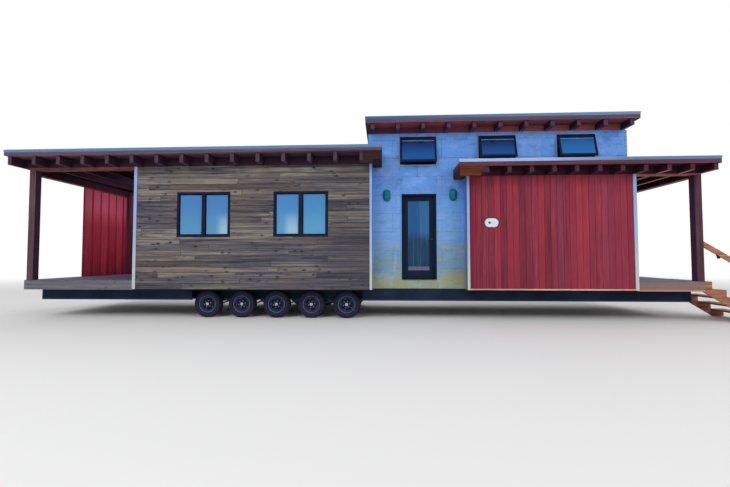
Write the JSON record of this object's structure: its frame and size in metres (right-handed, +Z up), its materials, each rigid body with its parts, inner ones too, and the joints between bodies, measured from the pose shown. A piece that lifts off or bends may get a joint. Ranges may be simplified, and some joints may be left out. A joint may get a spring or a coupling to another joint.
{
  "type": "tiny house on wheels",
  "caption": "Long tiny house on a steel trailer frame with a taller metal-clad middle, flat roofs on exposed rafters, covered end porches and side stairs.",
  "frame": {"origin": "on the ground, at the middle of the whole part's bounding box", "axes": "+X along the house from the long porch to the stairs, +Y from the front wall to the back wall, +Z up"},
  "size_m": [17.882, 4.516, 4.918],
  "materials": {
    "frame_paint": "dark blue-black paint, dusty and dull",
    "floor_timber": "bare boards",
    "weathered_boards": "reclaimed grey and brown boards with knots, unpainted",
    "wall_sheet": "galvanised panels, bluish at the top and stained olive lower down",
    "red_boards": "dark red stain, varied from board to board",
    "pale_trim": "pale grey, slightly worn",
    "light_timber": "unstained new board",
    "dark_timber": "dark red-brown stain",
    "roof_metal": "light blue-grey sheet and edge strip",
    "grey_timber": "weathered grey boards",
    "orange_timber": "fresh orange-brown treated timber",
    "door_paint": "dark bronze paint",
    "hinge_steel": "satin",
    "window_pane": "clear double glazing that mirrors the sky",
    "black_frame": "black, satin",
    "white_plastic": "white, plain",
    "light_green": "blue-green enamel",
    "tyre_rubber": "worn black tread, on a black steel rim with a bright hub cap"
  },
  "bodies": {
    "house": {"frame": "frame_paint", "axle_beams": "frame_paint", "springs": "frame_paint", "floor": "floor_timber", "left_front_wall": "weathered_boards", "left_back_wall": "weathered_boards", "left_end_wall": "weathered_boards", "left_return_walls": "weathered_boards", "front_wall_left_of_door": "wall_sheet", "front_wall_right_of_door": "wall_sheet", "front_wall_over_door": "wall_sheet", "mid_back_wall": "wall_sheet", "right_front_wall": "red_boards", "right_back_wall": "red_boards", "right_end_wall": "red_boards", "right_return_walls": "red_boards", "upper_side_walls": "wall_sheet", "upper_end_walls": "wall_sheet", "corner_strips": "pale_trim", "bottom_strips": "light_timber", "left_rafters": "dark_timber", "right_rafters": "dark_timber", "upper_rafters": "dark_timber", "roof_boards": "dark_timber", "roof_sheets": "roof_metal", "porch_beams": "dark_timber", "posts": "dark_timber", "porch_floors": "grey_timber", "privacy_screen": "red_boards", "stringers": "orange_timber", "treads": "orange_timber", "handrail": "orange_timber", "rail_bracket": "black_frame", "door_frame": "door_paint", "door_hinges": "hinge_steel", "end_doors": "door_paint", "window_frames": "black_frame", "window_glass": "window_pane", "opening_trims": "pale_trim", "awning_frames": "black_frame", "awning_sashes": "black_frame", "hatch": "white_plastic", "wall_lights": "light_green"},
    "door": {"door": "door_paint", "door_glass": "window_pane", "door_handle": "hinge_steel"},
    "wheel_front_1_body": {"wheel_front_1": "tyre_rubber"},
    "wheel_front_2_body": {"wheel_front_2": "tyre_rubber"},
    "wheel_front_3_body": {"wheel_front_3": "tyre_rubber"},
    "wheel_front_4_body": {"wheel_front_4": "tyre_rubber"},
    "wheel_front_5_body": {"wheel_front_5": "tyre_rubber"},
    "wheel_back_1_body": {"wheel_back_1": "tyre_rubber"},
    "wheel_back_2_body": {"wheel_back_2": "tyre_rubber"},
    "wheel_back_3_body": {"wheel_back_3": "tyre_rubber"},
    "wheel_back_4_body": {"wheel_back_4": "tyre_rubber"},
    "wheel_back_5_body": {"wheel_back_5": "tyre_rubber"}
  },
  "joints": [
    {"name": "front_door", "type": "hinge", "parent": "house", "child": "door", "pos_m": [0.7015, -1.282, 1.965], "axis": [0, 0, 1], "range_deg": [0, 100]},
    {"name": "wheel_front_1_spin", "type": "hinge", "parent": "house", "child": "wheel_front_1_body", "pos_m": [-4.256, -1.3275, 0.34], "axis": [0, 1, 0], "continuous": true},
    {"name": "wheel_front_2_spin", "type": "hinge", "parent": "house", "child": "wheel_front_2_body", "pos_m": [-3.37, -1.3275, 0.34], "axis": [0, 1, 0], "continuous": true},
    {"name": "wheel_front_3_spin", "type": "hinge", "parent": "house", "child": "wheel_front_3_body", "pos_m": [-2.484, -1.3275, 0.34], "axis": [0, 1, 0], "continuous": true},
    {"name": "wheel_front_4_spin", "type": "hinge", "parent": "house", "child": "wheel_front_4_body", "pos_m": [-1.598, -1.3275, 0.34], "axis": [0, 1, 0], "continuous": true},
    {"name": "wheel_front_5_spin", "type": "hinge", "parent": "house", "child": "wheel_front_5_body", "pos_m": [-0.712, -1.3275, 0.34], "axis": [0, 1, 0], "continuous": true},
    {"name": "wheel_back_1_spin", "type": "hinge", "parent": "house", "child": "wheel_back_1_body", "pos_m": [-4.256, 1.3275, 0.34], "axis": [0, 1, 0], "continuous": true},
    {"name": "wheel_back_2_spin", "type": "hinge", "parent": "house", "child": "wheel_back_2_body", "pos_m": [-3.37, 1.3275, 0.34], "axis": [0, 1, 0], "continuous": true},
    {"name": "wheel_back_3_spin", "type": "hinge", "parent": "house", "child": "wheel_back_3_body", "pos_m": [-2.484, 1.3275, 0.34], "axis": [0, 1, 0], "continuous": true},
    {"name": "wheel_back_4_spin", "type": "hinge", "parent": "house", "child": "wheel_back_4_body", "pos_m": [-1.598, 1.3275, 0.34], "axis": [0, 1, 0], "continuous": true},
    {"name": "wheel_back_5_spin", "type": "hinge", "parent": "house", "child": "wheel_back_5_body", "pos_m": [-0.712, 1.3275, 0.34], "axis": [0, 1, 0], "continuous": true}
  ]
}
